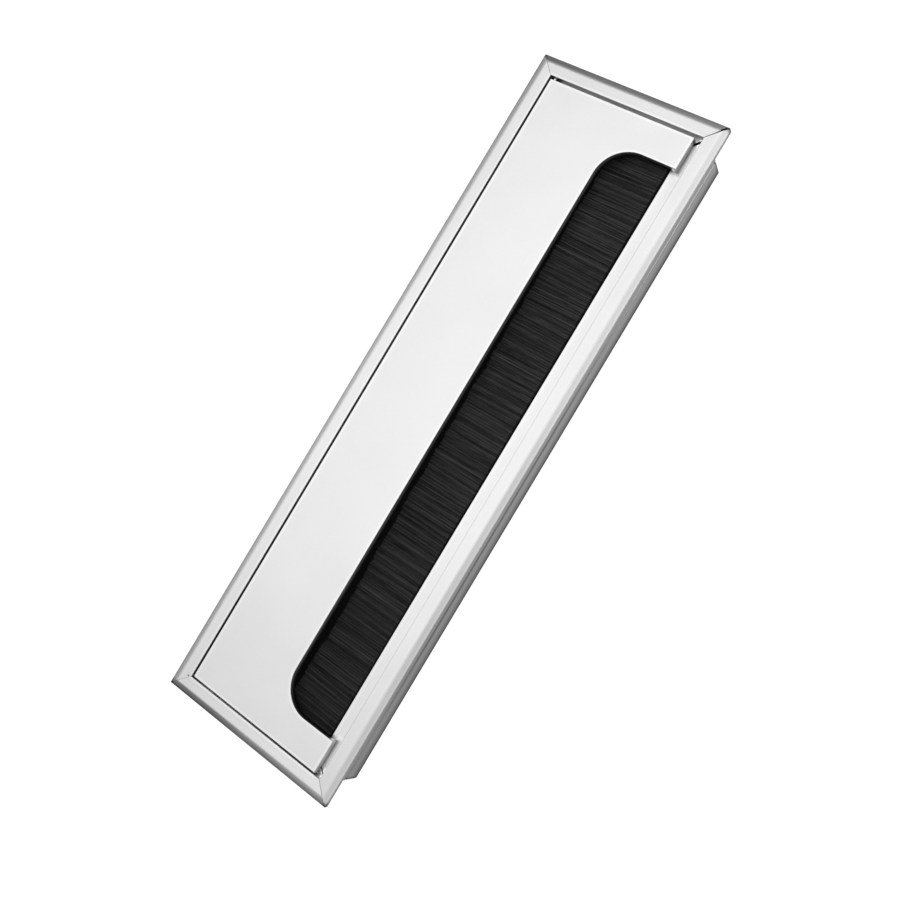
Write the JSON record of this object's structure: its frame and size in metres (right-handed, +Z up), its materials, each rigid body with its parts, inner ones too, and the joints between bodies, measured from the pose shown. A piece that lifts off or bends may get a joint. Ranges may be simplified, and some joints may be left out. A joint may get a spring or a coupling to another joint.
{
  "type": "desk cable grommet",
  "caption": "Rectangular aluminium desk grommet: mitred frame with bevelled flange, flush hinged lid with a long cable notch, and a black brush strip that closes the notch around cables.",
  "frame": {"origin": "centre of the desk cut-out, in the plane of the desk top on which the flange sits", "axes": "+X along the grommet, +Y from the brush towards the lid's hinge, +Z up out of the desk"},
  "size_m": [0.28, 0.08, 0.03],
  "materials": {
    "rail_aluminium": "satin anodised extrusion",
    "lid_aluminium": "fine satin anodised sheet",
    "pin_steel": "bright drawn wire",
    "key_steel": "zinc plated",
    "strip_steel": "galvanised",
    "bristle_nylon": "black nylon bristle"
  },
  "bodies": {
    "frame": {"hinge_side_rail": "rail_aluminium", "brush_side_rail": "rail_aluminium", "right_end_rail": "rail_aluminium", "left_end_rail": "rail_aluminium", "hinge_pin_right": "pin_steel", "hinge_pin_left": "pin_steel", "corner_key_hinge_right": "key_steel", "corner_key_hinge_left": "key_steel", "corner_key_brush_right": "key_steel", "corner_key_brush_left": "key_steel", "brush_backing": "strip_steel", "brush_core_wire": "strip_steel", "brush_bristles": "bristle_nylon"},
    "lid": {"lid": "lid_aluminium"}
  },
  "joints": [
    {"name": "lid_hinge", "type": "hinge", "parent": "frame", "child": "lid", "pos_m": [0, 0.031, 0.0015], "axis": [-1, 0, 0], "range_deg": [0, 95]}
  ]
}
